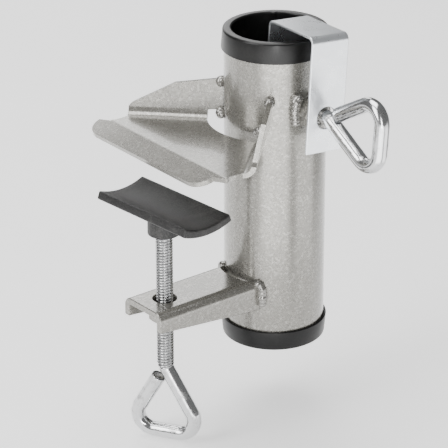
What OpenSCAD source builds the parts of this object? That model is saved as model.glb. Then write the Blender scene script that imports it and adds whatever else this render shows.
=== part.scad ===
// Rod holder that clamps on a rail: an upright socket tube with a pressed upper jaw, a channel
// arm with a clamping screw and swivel pad, and a strap with a second screw that grips the rod.
// Origin on the tube axis at the underside of the bottom collar. +Z up, the rail side is -X,
// and the rod screw points to -Y.

/* [Tube] */
// Outside diameter of the socket tube
tube_d = 60; // [58:0.5:62]
// Wall of the socket tube
tube_wall = 2; // [1.5:0.1:2.2]
// Height over both collars
total_h = 193; // [190:1:200]

/* [Collars] */
// Bore of both collars
collar_bore_d = 51; // [50:0.5:51]
// Height of the outside skirt
skirt_h = 12; // [10:0.5:14]
// Wall of the skirt at its open edge
skirt_t = 1.5; // [1.2:0.1:2]
// Height of the inside sleeve
sleeve_h = 20; // [14:1:24]
// Thickness of the end flange
flange_t = 2.5; // [2:0.1:3]

/* [Upper jaw] */
// Sheet thickness of the jaw
jaw_t = 3; // [2:0.1:3]
// Height of the top of the jaw's floor
jaw_z = 136.8; // [134:0.1:140]
// Angle by which the welded jaw sits off the arm's line
jaw_yaw = -1.6; // [-2:0.1:0]
// Inside radius of the wing bends
wing_bend_r = 3; // [2:0.1:4]
// Lean of each wing past upright
wing_lean = 8; // [4:0.5:10]
// Half the length of the jaw along the rail
jaw_half = 55; // [54:0.5:60]
// Slope of the front lip below level
lip_slope = 18; // [16:1:24]
// Length of the front lip past its bend
lip_len = 13.5; // [12:0.1:15]

/* [Lower arm] */
// Sheet thickness of the arm
arm_t = 4; // [3:0.1:4]
// Width of the channel arm
arm_w = 34.5; // [32:0.5:36]
// Height of the top of the arm
arm_z = 45.1; // [44:0.1:46]
// Reach of the arm's tip from the tube axis
arm_reach = 98.6; // [96:0.1:100]
// Height of the flange's lower edge at the tip
flange_z_tip = 33.4; // [32:0.1:34]
// Height of the flange's lower edge at the tube
flange_z_root = 25.5; // [24:0.1:28]
// Diameter of the screw hole in the web
arm_hole_d = 14; // [13:0.1:15]

/* [Screws] */
// Major diameter of both threads
thread_d = 10; // [10:0.1:10]
// Diameter of the bent handle wire
wire_d = 8.8; // [8.4:0.1:9]
// Distance from the handle's first bend to the middle of its cross bar
handle_len = 43.5; // [42:0.1:45]
// Half the angle between the handle's two sides
handle_half = 29.8; // [28:0.1:30]
// Radius of the handle's corners to the middle of the wire
handle_r = 10; // [9:0.1:11]
// Length of the handle's open end side
handle_end = 8.4; // [8.4:0.1:10]
// Distance of the clamp screw from the tube axis
screw_x = 82.4; // [80:0.1:84]
// Height of the clamp screw's first bend
screw_z = 1.2; // [0:0.1:2]
// Turn of the clamp screw's handle about its axis
clamp_turn = -59.4; // [-90:0.1:0]
// Height of the rod screw
rod_screw_z = 150.9; // [150:0.1:152]
// Distance of the rod screw's first bend from the tube axis
rod_screw_y = 47.6; // [47.4:0.1:49]
// Turn of the rod screw's handle about its axis
rod_turn = -94.3; // [-100:0.1:-80]

/* [Clamp pad] */
// Length of the pad along the rail
pad_l = 76; // [72:1:78]
// Width of the pad
pad_w = 33; // [30:0.5:34]
// Thickness of the pad's plate
pad_t = 5; // [4:0.1:5]
// Height of the pad's upper edges
pad_z = 105.7; // [104:0.1:106]
// Radius of the hollow along the pad
pad_hollow_r = 42; // [40:1:50]
// Swivel of the pad about its screw
pad_swivel = 3.5; // [0:0.1:5]
// Diameter of the boss under the pad
boss_d = 19; // [18:0.1:20]
// Height of the boss's lower face
boss_z = 86.2; // [86:0.1:87]

/* [Rod strap] */
// Sheet thickness of the strap
strap_t = 1.5; // [1:0.1:2]
// Width of the strap
strap_w = 25.4; // [24:0.1:26]
// Height of the strap above its hole
strap_up = 48.4; // [48:0.1:50]
// Length of the outside leg below its hole
strap_down = 20.6; // [18:0.1:22]
// Depth of the strap over both legs
strap_depth = 43; // [42.5:0.1:44]
// Diameter of the hole in the strap
strap_hole_d = 13; // [13:0.1:14]
// Distance of the strap's outside face from the tube axis
strap_y = 45.75; // [45.6:0.01:46]

/* [Nuts] */
// Width across the flats of the welded nuts
nut_af = 17; // [16:0.5:17]
// Height of the welded nuts
nut_h = 9; // [8:0.1:9]
// Radial gap between a screw and its nut
thread_gap = 0.05; // [0.02:0.01:0.1]

/* [Hidden] */
$fn = 96;
weld_fn = 32;
wire_fn = 40;
tube_r = tube_d / 2;
bore_r = collar_bore_d / 2;
thread_r = thread_d / 2;
wire_r = wire_d / 2;
nut_bore_r = thread_r + thread_gap;

// Collars: small clearances to the tube, and the rounded outer edge
collar_gap = 0.15;
skirt_in_r = tube_r + collar_gap;
skirt_out_r = skirt_in_r + skirt_t;
collar_top_r = skirt_out_r - 0.9;
sleeve_out_r = tube_r - tube_wall - collar_gap;
collar_round = 1.2;

// Jaw: the floor's end behind the gap round the tube, and each wing's bend line,
// which starts beside the tube and runs outward at 45 degrees
jaw_gap_r = 39.5;
wing_root = [-30.3, 21.3];
wing_dir = 135;
wing_len = 47;
wing_bend_from = 3;
wing_bend = 90 - wing_lean;
floor_waist = [[-70.2, 53.9], [-75, 54.2]];
lip_x = -76.9;
lip_bend_r = 2;
lip_corner_r = 10.7;
lip_shift = 7.8;
lip_root_half = floor_waist[1][1] + 1;
fold_lap = 0.4;
fold_thin = 0.12;
wing_outline = [[-5.6, 2.4], [-5.3, 20.9], [22.6, 16.8], [47.9, 3.7], [wing_len + 1.5, 0], [wing_len, 0],
                [wing_len, -fold_lap], [wing_bend_from, -fold_lap]];

// Arm: bend radii of the channel and the gap at the tube
arm_bend_in = 1.5;
arm_bend_out = arm_bend_in + arm_t;
arm_gap_r = 33.5;
arm_gap_half = 13;
arm_weld_gap = 0.4;
arm_root_x = -18;

// Clamp screw's journal in the pad, and its retaining ring
wire_lap = 0.6;
bend_thin = 0.15;
elbow_lap = 0.5;
thread_foot = 1;
groove_r = 3.6;
groove_z = 89.5;
groove_h = 1.6;
tip_r = 4.6;
tip_z = 96;
ring_in_r = groove_r + 0.1;
ring_out_r = 6.2;
ring_h = 1.2;
ring_z = groove_z + (groove_h - ring_h) / 2;
ring_mouth = 50;
boss_bore_r = thread_r + 0.35;

// Pad
pad_sag = pad_hollow_r - sqrt(pow(pad_hollow_r, 2) - pow(pad_w / 2, 2));
pad_under_z = pad_z - pad_sag - pad_t;
rib_t = 4;
rib_reach = 6;
rib_h = 5;

// Strap: it hangs a few degrees askew on its screw
strap_yaw = 4.6;
strap_tilt = -1.1;
strap_roll = -4;
strap_x = -0.5;
strap_bend_r = 4;
strap_inner_down = 18;
rod_tip_gap = 0.5;
tip_chamfer = 1;

// Nuts stand on these planes
arm_nut_z = arm_z - arm_t - nut_h;
rod_nut_y = 27;
rod_nut_len = 12;

// ---- shared shapes ----

function arc(centre, r, from, to, steps = 8) =
    [for (i = [0:steps]) centre + r * [cos(from + (to - from) * i / steps), sin(from + (to - from) * i / steps)]];

// Hexagonal bar along +Z with a flat towards +X and -X
module hex_bar(height) {
    rotate([0, 0, 30]) cylinder(h = height, r = nut_af / 2 / cos(30), $fn = 6);
}

// Round drop of weld metal
module drop(r) {
    sphere(r = r, $fn = weld_fn);
}

// Run of weld metal, long along Z
module bead(at, r, stretch = 1) {
    translate(at) {
        cylinder(h = r * 2 * stretch, r = r, center = true, $fn = weld_fn);
        for (s = [-1, 1]) translate([0, 0, s * r * stretch]) drop(r);
    }
}

// Round wire in the XZ plane between two points, and past each of them into the bend
module wire(from, to) {
    run = to - from;
    translate([from[0], 0, from[1]]) rotate([0, atan2(run[0], run[1]), 0]) translate([0, 0, -wire_lap])
        cylinder(h = norm(run) + 2 * wire_lap, r = wire_r, $fn = wire_fn);
}

// Bend of the wire in the XZ plane, from an angle of that plane through a sweep. Bending thins it a little
module wire_bend(centre, r, from, sweep) {
    translate([centre[0], 0, centre[1]]) rotate([90, 0, 0]) rotate([0, 0, from])
        rotate_extrude(angle = sweep, $fn = 2 * wire_fn) translate([r, 0]) circle(r = wire_r - bend_thin, $fn = wire_fn);
}

// Bent triangular handle in the XZ plane. The first bend is at the origin, and the handle hangs to -Z.
// The wire starts a little way up, inside the thread
module handle() {
    side = [sin(handle_half), -cos(handle_half)];
    turn = 90 + handle_half;
    inset = handle_r * tan(turn / 2);
    centre_x = handle_len * tan(handle_half) - inset;
    centre_z = -handle_len + handle_r;
    leave = handle_len / cos(handle_half) - inset;
    wire(-elbow_lap * side, leave * side);
    wire_bend([centre_x, centre_z], handle_r, -90, turn);
    wire([centre_x, -handle_len], [-centre_x, -handle_len]);
    wire_bend([-centre_x, centre_z], handle_r, 180 - handle_half, turn);
    wire(leave * [-side[0], side[1]], (handle_end + wire_lap) * [-side[0], side[1]]);
}

// ---- fixed frame ----

module main_tube() {
    color("#a3a09a") difference() {
        translate([0, 0, flange_t]) cylinder(h = total_h - 2 * flange_t, r = tube_r);
        translate([0, 0, -1]) cylinder(h = total_h + 2, r = tube_r - tube_wall);
        translate([0, 0, rod_screw_z]) rotate([90, 0, 0]) cylinder(h = tube_d, r = thread_r + 0.5);
    }
}

// End collar with its outside face at z = 0 and its skirt and sleeve towards +Z
module end_collar() {
    outline = concat(
        [[bore_r, 0]],
        arc([collar_top_r - collar_round, collar_round], collar_round, -90, 0),
        [[skirt_out_r, skirt_h], [skirt_in_r, skirt_h], [skirt_in_r, flange_t],
         [sleeve_out_r, flange_t], [sleeve_out_r - 0.3, sleeve_h], [bore_r, sleeve_h]]);
    rotate_extrude() polygon(outline);
}

module top_collar() {
    color("#1c1b1a") translate([0, 0, total_h]) mirror([0, 0, 1]) end_collar();
}

module bottom_collar() {
    color("#1c1b1a") end_collar();
}

// Plan of the jaw's floor and lip, cut back behind the gap round the tube
module floor_plan() {
    wing_tip = wing_root + (wing_len + 0.4) * [cos(wing_dir), sin(wing_dir)];
    half = concat([wing_root, wing_tip], floor_waist, [[lip_x, lip_root_half]]);
    flip = [for (i = [len(half) - 1:-1:0]) [half[i][0], -half[i][1]]];
    centre_x = lip_x - (lip_bend_r + jaw_t) * sin(lip_slope) - lip_len * cos(lip_slope) + lip_corner_r;
    difference() {
        polygon(concat(half,
                       arc([centre_x, lip_shift + jaw_half - lip_corner_r], lip_corner_r, 90, 180),
                       arc([centre_x, lip_shift + lip_corner_r - jaw_half], lip_corner_r, 180, 270), flip));
        circle(r = jaw_gap_r);
    }
}

// Side view (x, z) of the floor and of the lip folded down from it, longer than the plan at both ends
module floor_side() {
    fold_at = [lip_x, jaw_z - lip_bend_r - jaw_t];
    reach = (lip_len + 5) * [-cos(lip_slope), -sin(lip_slope)];
    top = arc(fold_at, lip_bend_r + jaw_t, 90, 90 + lip_slope);
    low = arc(fold_at, lip_bend_r, 90 + lip_slope, 90);
    polygon(concat([[0, jaw_z]], top, [top[len(top) - 1] + reach, low[0] + reach], low, [[0, jaw_z - jaw_t]]));
}

// Fold of the sheet about +Z, from +X through a sweep. Folding thins the sheet a little
module fold(inside_r, sweep, length) {
    rotate_extrude(angle = sweep) translate([inside_r + fold_thin, 0]) square([jaw_t - 2 * fold_thin, length]);
}

// Wing on the +Y side, with the fold that joins it to the floor. Both plates lap into the fold
module wing() {
    fold_len = wing_len - wing_bend_from;
    translate([wing_root[0], wing_root[1], jaw_z]) rotate([0, 0, wing_dir]) {
        translate([wing_bend_from, -fold_lap, -jaw_t]) cube([fold_len, fold_lap + 1, jaw_t]);
        translate([wing_bend_from, 0, wing_bend_r]) rotate([90, 0, 90]) rotate([0, 0, -90 - wing_bend])
            fold(wing_bend_r, wing_bend, fold_len);
        translate([0, -wing_bend_r * sin(wing_bend), wing_bend_r * (1 - cos(wing_bend))])
            rotate([90 + wing_lean, 0, 0]) linear_extrude(jaw_t) polygon(wing_outline);
    }
}

module upper_jaw() {
    color("#a5a29b") rotate([0, 0, jaw_yaw]) {
        intersection() {
            translate([0, 0, jaw_z - 12]) linear_extrude(14) floor_plan();
            rotate([90, 0, 0]) linear_extrude(140, center = true) floor_side();
        }
        for (side = [0, 1]) mirror([0, side, 0]) wing();
    }
}

// Weld metal that joins the jaw's wing to the tube. far is 1 on the +Y side and -1 on the -Y side
module jaw_weld_top(far) {
    color("#b5b2ab") rotate([0, 0, jaw_yaw]) bead([-22.2, far * 22.6, 158], 2.6, 0.8);
}

module jaw_weld_low(far) {
    color("#b5b2ab") rotate([0, 0, jaw_yaw]) {
        bead([-24.6, far * 20.2, 141.2], 2.4, 0.4);
        translate([-27.6, far * 15.6, 139.2]) drop(2.4);
        translate([-25.8, far * 18, 140.2]) drop(2.2);
    }
}

// Cross section of the channel in the YZ plane, open downward
module channel_section() {
    difference() {
        union() {
            translate([-arm_w / 2, arm_z - 30]) square([arm_w, 30 - arm_bend_out]);
            translate([-arm_w / 2 + arm_bend_out, arm_z - 10]) square([arm_w - 2 * arm_bend_out, 10]);
            for (s = [-1, 1]) translate([s * (arm_w / 2 - arm_bend_out), arm_z - arm_bend_out]) circle(r = arm_bend_out);
        }
        translate([-arm_w / 2 + arm_t, arm_z - 31]) square([arm_w - 2 * arm_t, 31 - arm_bend_out]);
        translate([-arm_w / 2 + arm_bend_out, arm_z - 20]) square([arm_w - 2 * arm_bend_out, 20 - arm_t]);
        for (s = [-1, 1]) translate([s * (arm_w / 2 - arm_bend_out), arm_z - arm_bend_out]) circle(r = arm_bend_in);
    }
}

module lower_arm() {
    color("#a5a29b") difference() {
        translate([arm_root_x, 0, 0]) rotate([90, 0, -90]) linear_extrude(arm_reach + arm_root_x) channel_section();
        translate([0, arm_w, 0]) rotate([90, 0, 0]) linear_extrude(2 * arm_w)
            polygon([[-arm_reach - 1, 0], [-arm_reach - 1, flange_z_tip], [arm_root_x, flange_z_root],
                     [arm_root_x + 1, 0]]);
        cylinder(h = total_h, r = tube_r + arm_weld_gap);
        intersection() {
            cylinder(h = total_h, r = arm_gap_r);
            translate([-2 * tube_r, -arm_gap_half, arm_z - arm_t - 1]) cube([2 * tube_r, 2 * arm_gap_half, 10]);
        }
        translate([-screw_x, 0, 0]) cylinder(h = total_h, r = arm_hole_d / 2);
    }
}

// Weld run between a flange of the arm and the tube
module arm_weld(far) {
    color("#b5b2ab") {
        bead([-24.2, far * 18.6, 36.6], 2.6, 3.2);
        translate([-27, far * 15, 44.8]) drop(2.2);
    }
}

// Hexagonal nut under the arm's web, that the clamp screw runs in
module arm_nut() {
    color("#a5a29b") translate([-screw_x, 0, arm_nut_z]) difference() {
        hex_bar(nut_h);
        translate([0, 0, -1]) cylinder(h = nut_h + 2, r = nut_bore_r);
    }
}

// Weld drops at the corners of the nut against the web
module arm_nut_weld() {
    color("#b5b2ab") translate([-screw_x, 0, arm_nut_z + nut_h - 1]) for (a = [0, 120, 240]) rotate([0, 0, a])
        translate([nut_af / 2 + 0.7, 0, 0]) drop(1.7);
}

// Hexagonal nut on the tube, that the rod screw runs in. Its foot follows the tube
module rod_nut() {
    color("#a5a29b") difference() {
        translate([0, -rod_nut_y, rod_screw_z]) rotate([90, 0, 0]) rotate([0, 0, 90]) hex_bar(rod_nut_len);
        cylinder(h = total_h, r = tube_r + 0.02);
        translate([0, 0, rod_screw_z]) rotate([90, 0, 0]) cylinder(h = tube_d, r = nut_bore_r);
    }
}

// Weld run down each side of the nut against the tube
module rod_nut_weld() {
    color("#b5b2ab") for (s = [-1, 1]) {
        bead([s * 9.6, -29.2, rod_screw_z + 1.5], 2.4, 1.9);
        translate([s * 8, -30.4, rod_screw_z + 8]) drop(2);
    }
}

// ---- rail clamp ----

// Open ring that sits in the screw's groove and holds the pad on it
module pad_retaining_ring() {
    color("#c9cacc") translate([-screw_x, 0, ring_z]) rotate([0, 0, ring_mouth / 2])
        rotate_extrude(angle = 360 - ring_mouth) translate([ring_in_r, 0]) square([ring_out_r - ring_in_r, ring_h]);
}

// Cross section of the pad's plate, hollow on top, in the XZ plane
module pad_section() {
    centre = [0, pad_z + pad_hollow_r - pad_sag];
    reach = asin(pad_w / 2 / pad_hollow_r);
    polygon(concat(arc(centre, pad_hollow_r, 270 - reach, 270 + reach, 24),
                   arc(centre, pad_hollow_r + pad_t, 270 + reach, 270 - reach, 24)));
}

module clamp_pad() {
    color("#232221") translate([-screw_x, 0, 0]) rotate([0, 0, pad_swivel]) difference() {
        union() {
            translate([0, pad_l / 2, 0]) rotate([90, 0, 0]) linear_extrude(pad_l) pad_section();
            translate([0, 0, boss_z]) cylinder(h = pad_under_z - boss_z + 1.5, r = boss_d / 2);
            for (s = [0, 180]) rotate([90, 0, 90 + s]) translate([0, 0, -rib_t / 2]) linear_extrude(rib_t)
                polygon([[0, pad_under_z + 0.5], [boss_d / 2 + rib_reach, pad_under_z + 0.5],
                         [boss_d / 2 - 0.5, pad_under_z - rib_h], [0, pad_under_z - rib_h]]);
        }
        translate([0, 0, boss_z - 1]) cylinder(h = tip_z + 0.5 - boss_z + 1, r = boss_bore_r);
        translate([0, 0, ring_z - 0.3]) cylinder(h = ring_h + 0.6, r = ring_out_r + 0.4);
    }
}

module clamp_screw() {
    color("#c3c5c8") translate([-screw_x, 0, 0]) {
        translate([0, 0, screw_z]) rotate([0, 0, clamp_turn]) handle();
        translate([0, 0, screw_z - thread_foot]) cylinder(h = groove_z - screw_z + thread_foot, r = thread_r);
        translate([0, 0, groove_z]) cylinder(h = groove_h, r = groove_r);
        translate([0, 0, groove_z + groove_h]) cylinder(h = tip_z - groove_z - groove_h, r = tip_r);
    }
}

// ---- rod clamp ----

// Side view of the strap in the YZ plane: outside leg at y = 0, hole at z = 0, inward is +Y
module strap_section() {
    difference() {
        union() {
            translate([0, -strap_down]) square([strap_depth, strap_down + strap_up - strap_bend_r]);
            translate([strap_bend_r, 0]) square([strap_depth - 2 * strap_bend_r, strap_up]);
            for (y = [strap_bend_r, strap_depth - strap_bend_r]) translate([y, strap_up - strap_bend_r])
                circle(r = strap_bend_r);
        }
        translate([strap_t, -strap_down - 1])
            square([strap_depth - 2 * strap_t, strap_down + 1 + strap_up - strap_bend_r]);
        translate([strap_bend_r, 0]) square([strap_depth - 2 * strap_bend_r, strap_up - strap_t]);
        for (y = [strap_bend_r, strap_depth - strap_bend_r]) translate([y, strap_up - strap_bend_r])
            circle(r = strap_bend_r - strap_t);
        translate([strap_depth / 2, -strap_down - 1]) square([strap_depth, strap_down + 1 - strap_inner_down]);
    }
}

module rod_strap() {
    color("#d0d2d5") translate([strap_x, -strap_y, rod_screw_z - 0.2])
        rotate([0, 0, -strap_yaw]) rotate([strap_tilt, 0, 0]) rotate([0, -strap_roll, 0]) difference() {
            translate([-strap_w / 2, 0, 0]) rotate([90, 0, 90]) linear_extrude(strap_w) strap_section();
            translate([0, strap_t + 1, 0]) rotate([90, 0, 0]) cylinder(h = strap_t + 2, r = strap_hole_d / 2);
        }
}

// Its tip stops just short of the strap's inside leg
module rod_screw() {
    tip_y = strap_y - strap_depth + strap_t + rod_tip_gap;
    color("#c3c5c8") translate([0, 0, rod_screw_z]) rotate([-90, 0, 0]) {
        translate([0, 0, -rod_screw_y]) rotate([0, 0, -rod_turn]) handle();
        translate([0, 0, -rod_screw_y - thread_foot])
            cylinder(h = rod_screw_y - tip_y - tip_chamfer + thread_foot, r = thread_r);
        translate([0, 0, -tip_y - tip_chamfer]) cylinder(h = tip_chamfer, r = thread_r - tip_chamfer);
    }
}

main_tube();
top_collar();
bottom_collar();
upper_jaw();
jaw_weld_top(1);  // jaw_weld_far_top
jaw_weld_top(-1);  // jaw_weld_near_top
jaw_weld_low(1);  // jaw_weld_far_low
jaw_weld_low(-1);  // jaw_weld_near_low
lower_arm();
arm_weld(1);  // arm_weld_far
arm_weld(-1);  // arm_weld_near
arm_nut();
arm_nut_weld();
rod_nut();
rod_nut_weld();
pad_retaining_ring();
clamp_pad();
clamp_screw();
rod_strap();
rod_screw();
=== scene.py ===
"""Looks of a rod holder: a socket tube on a rail clamp, with a strap and screw that grip the rod.

Every piece is a surface worked out with numpy in the part's own frame: metres, origin on the
tube's axis at the underside of the bottom collar, +Z up, the rail towards -X and the rod screw
towards -Y. Sizes inside the classes are millimetres, as on a drawing, and MM turns them to metres.
"""

from __future__ import annotations

import logging
import math
from collections.abc import Callable, Sequence
from dataclasses import dataclass, field
from enum import Enum

import bpy
import numpy as np
from mathutils import Matrix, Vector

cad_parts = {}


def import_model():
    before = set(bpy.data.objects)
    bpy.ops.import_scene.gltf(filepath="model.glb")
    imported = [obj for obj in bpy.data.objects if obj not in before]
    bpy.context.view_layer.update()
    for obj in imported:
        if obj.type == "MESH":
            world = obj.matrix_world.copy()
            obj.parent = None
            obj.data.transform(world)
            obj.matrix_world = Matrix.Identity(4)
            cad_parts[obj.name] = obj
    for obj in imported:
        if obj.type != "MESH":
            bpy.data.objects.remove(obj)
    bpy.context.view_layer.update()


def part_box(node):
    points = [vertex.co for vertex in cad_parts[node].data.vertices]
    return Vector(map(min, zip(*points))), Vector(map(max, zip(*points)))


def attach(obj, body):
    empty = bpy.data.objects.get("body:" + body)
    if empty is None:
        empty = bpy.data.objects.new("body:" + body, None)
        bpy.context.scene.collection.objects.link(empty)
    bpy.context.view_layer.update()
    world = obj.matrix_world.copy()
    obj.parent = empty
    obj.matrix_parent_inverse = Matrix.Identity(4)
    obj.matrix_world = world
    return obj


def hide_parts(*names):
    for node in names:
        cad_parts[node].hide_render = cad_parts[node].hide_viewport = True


MM = 0.001
TAU = 2.0 * math.pi
LOG = logging.getLogger("rod_holder")

Array = np.ndarray
Grid = Array  # rows x columns x 3, in millimetres


# ---------------------------------------------------------------- meshes


class Edge(Enum):
    """How a piece's edges are finished."""

    SOFT = "soft"
    SHEARED = "sheared"


@dataclass
class Shell:
    """Points and faces that are gathered, in millimetres, and become one mesh."""

    points: list[Array] = field(default_factory=list)
    faces: list[list[int]] = field(default_factory=list)
    flows: list[Array] = field(default_factory=list)
    count: int = 0

    def add(self, points: Array, faces: Sequence[Sequence[int]] | Array, flow: Array | None = None) -> None:
        """Adds a batch of points and the faces that index it.

        Args:
            points: n x 3 points.
            faces: index loops into those points.
            flow: n x 3 coordinates that follow the surface, the last of them along it.
        """
        start = self.count
        self.points.append(np.asarray(points, float).reshape(-1, 3))
        self.flows.append(self.points[-1] if flow is None else flow.reshape(-1, 3))
        if isinstance(faces, np.ndarray):
            self.faces.extend((faces + start).tolist())
        else:
            self.faces.extend([[i + start for i in loop] for loop in faces])
        self.count += len(self.points[-1])

    def grid(self, grid: Grid, caps: bool = True, flow: Grid | None = None) -> None:
        """Adds a grid as quads, closed round its columns.

        Args:
            grid: rows x columns x 3 points.
            caps: whether the first and last rows are each closed by one face.
            flow: coordinates that follow the surface, the last of them along it.
        """
        rows, cols = grid.shape[:2]
        index = np.arange(rows * cols).reshape(rows, cols)
        right = np.roll(index, -1, axis=1)
        quads = np.stack([index[:-1], right[:-1], right[1:], index[1:]], -1).reshape(-1, 4)
        faces = quads.tolist()
        if caps:
            faces += [index[0, ::-1].tolist(), index[-1].tolist()]
        self.add(grid.reshape(-1, 3), faces, flow)

    def build(self, name: str, finish: Finish, edge: Edge = Edge.SOFT,
              weld: float = 1e-4) -> bpy.types.Object:
        """Makes the mesh object, with its place in its mesh and its object at the origin.

        Args:
            name: the piece's name.
            finish: the finish that dresses it.
            edge: how its edges are finished.
            weld: distance in millimetres under which points become one.

        Returns:
            The finished object.
        """
        points = np.concatenate(self.points)
        _, first, inverse = np.unique(np.round(points / weld).astype(np.int64), axis=0,
                                      return_index=True, return_inverse=True)
        inverse = inverse.reshape(-1)
        faces = []
        for loop in self.faces:
            mapped = [int(inverse[i]) for i in loop]
            kept = [v for k, v in enumerate(mapped) if v != mapped[k - 1]]
            if len(set(kept)) > 2:
                faces.append(kept)
        mesh = bpy.data.meshes.new(name)
        mesh.from_pydata((points[first] * MM).tolist(), [], faces)
        flow = mesh.attributes.new("flow", "FLOAT_VECTOR", "POINT")
        flow.data.foreach_set("vector", np.concatenate(self.flows)[first].astype(np.float32).reshape(-1))
        mesh.shade_smooth()
        piece = bpy.data.objects.new(name, mesh)
        bpy.context.scene.collection.objects.link(piece)
        piece.data.materials.append(finish.material())
        if edge is Edge.SHEARED:
            bevel = piece.modifiers.new("rounded_edges", "BEVEL")
            bevel.width = 0.45 * MM
            bevel.segments = 3
            bevel.limit_method = "ANGLE"
            bevel.angle_limit = math.radians(38)
            bevel.use_clamp_overlap = True
            flat = piece.modifiers.new("flat_faces_stay_flat", "WEIGHTED_NORMAL")
            flat.keep_sharp = True
        mesh.set_sharp_from_angle(angle=math.radians(60))
        LOG.info("%s: %d faces", name, len(faces))
        return piece


def unit(vector: Array) -> Array:
    """Vectors scaled to length one along their last axis."""
    return vector / np.maximum(np.linalg.norm(vector, axis=-1, keepdims=True), 1e-12)


def arc(centre: Sequence[float], radius: float, start: float, end: float, steps: int = 8) -> Array:
    """Points along a circular arc of the plane, angles in degrees."""
    angle = np.radians(np.linspace(start, end, steps + 1))
    return np.stack([centre[0] + radius * np.cos(angle), centre[1] + radius * np.sin(angle)], -1)


def revolve(profile: Array, steps: int = 192, wobble: Callable[[Array, Array], Array] | None = None) -> Grid:
    """Turns a closed outline about the Z axis: point (r, z) at angle a goes to (r cos a, r sin a, z).

    Args:
        profile: outline points (r, z), anticlockwise.
        steps: columns round the axis.
        wobble: change of radius as a function of the angles and the outline's points.

    Returns:
        The grid, outline by angle, with its first outline point repeated at the end.
    """
    outline = np.concatenate([profile, profile[:1]])
    angle = np.linspace(0, TAU, steps, endpoint=False)
    radius = outline[:, 0][:, None] + np.zeros_like(angle)[None, :]
    if wobble is not None:
        radius = radius + wobble(angle[None, :], outline)
    height = np.broadcast_to(outline[:, 1][:, None], radius.shape)
    return np.stack([radius * np.cos(angle), radius * np.sin(angle), height], -1)


def sweep(path: Array, radius: Array, columns: int, up: Sequence[float]) -> Grid:
    """Carries a circle along a path: each ring stands square to the path, its seam turned towards up.

    Args:
        path: n x 3 centre line.
        radius: n radii, or n x columns radii.
        columns: points round each ring.
        up: direction that is never along the path.

    Returns:
        The grid of rings.
    """
    tangent = unit(np.gradient(path, axis=0))
    side = unit(np.cross(tangent, np.asarray(up, float)))
    lift = np.cross(tangent, side)
    angle = np.linspace(0, TAU, columns, endpoint=False)
    radius = np.asarray(radius, float)
    radius = radius[:, None] + np.zeros(columns) if radius.ndim == 1 else radius
    ring = side[:, None] * np.cos(angle)[None, :, None] + lift[:, None] * np.sin(angle)[None, :, None]
    return path[:, None] + radius[..., None] * ring


def rounded_path(corners: Array, radii: Sequence[float], step: float = 0.6) -> Array:
    """A polyline with each inner corner replaced by an arc of its own radius.

    Each arc is tangent to both sides, so it starts radius * tan(turn / 2) before the corner.

    Args:
        corners: n x 3 corner points.
        radii: n - 2 radii of the inner corners.
        step: distance between points along the result.

    Returns:
        The points along the path.
    """
    parts = [corners[:1]]
    for before, here, after, radius in zip(corners[:-2], corners[1:-1], corners[2:], radii):
        inward, outward = unit(here - before), unit(after - here)
        turn = math.acos(float(np.clip(inward @ outward, -1, 1)))
        inset = radius * math.tan(turn / 2)
        start = here - inward * inset
        normal = unit(outward - inward * (inward @ outward))
        angle = np.linspace(0, turn, max(4, int(radius * turn / step)))[:, None]
        parts.append(start + radius * (np.sin(angle) * inward + (1 - np.cos(angle)) * normal))
    parts.append(corners[-1:])
    points = np.concatenate(parts)
    length = np.concatenate([[0], np.cumsum(np.linalg.norm(np.diff(points, axis=0), axis=1))])
    points = points[np.concatenate([[True], np.diff(length) > 1e-6])]
    length = length[np.concatenate([[True], np.diff(length) > 1e-6])]
    even = np.linspace(0, length[-1], int(length[-1] / step) + 2)
    return np.stack([np.interp(even, length, points[:, k]) for k in range(3)], -1)


def ripple(seed: int, waves: int, finest: float) -> Callable[[Array], Array]:
    """A smooth random function of 3-D points: a sum of sines with seeded directions and phases.

    Args:
        seed: fixes the random draws.
        waves: how many sines are added.
        finest: shortest wavelength in millimetres.

    Returns:
        A function from n x 3 points to values of about -1 to 1.
    """
    rng = np.random.default_rng(seed)
    direction = unit(rng.normal(size=(waves, 3)))
    number = TAU / (finest * rng.uniform(1, 3, waves))
    phase = rng.uniform(0, TAU, waves)

    def value(points: Array) -> Array:
        """Adds the sines at the points."""
        return np.sin(points @ (direction * number[:, None]).T + phase).sum(-1) / math.sqrt(waves)

    return value


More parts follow.
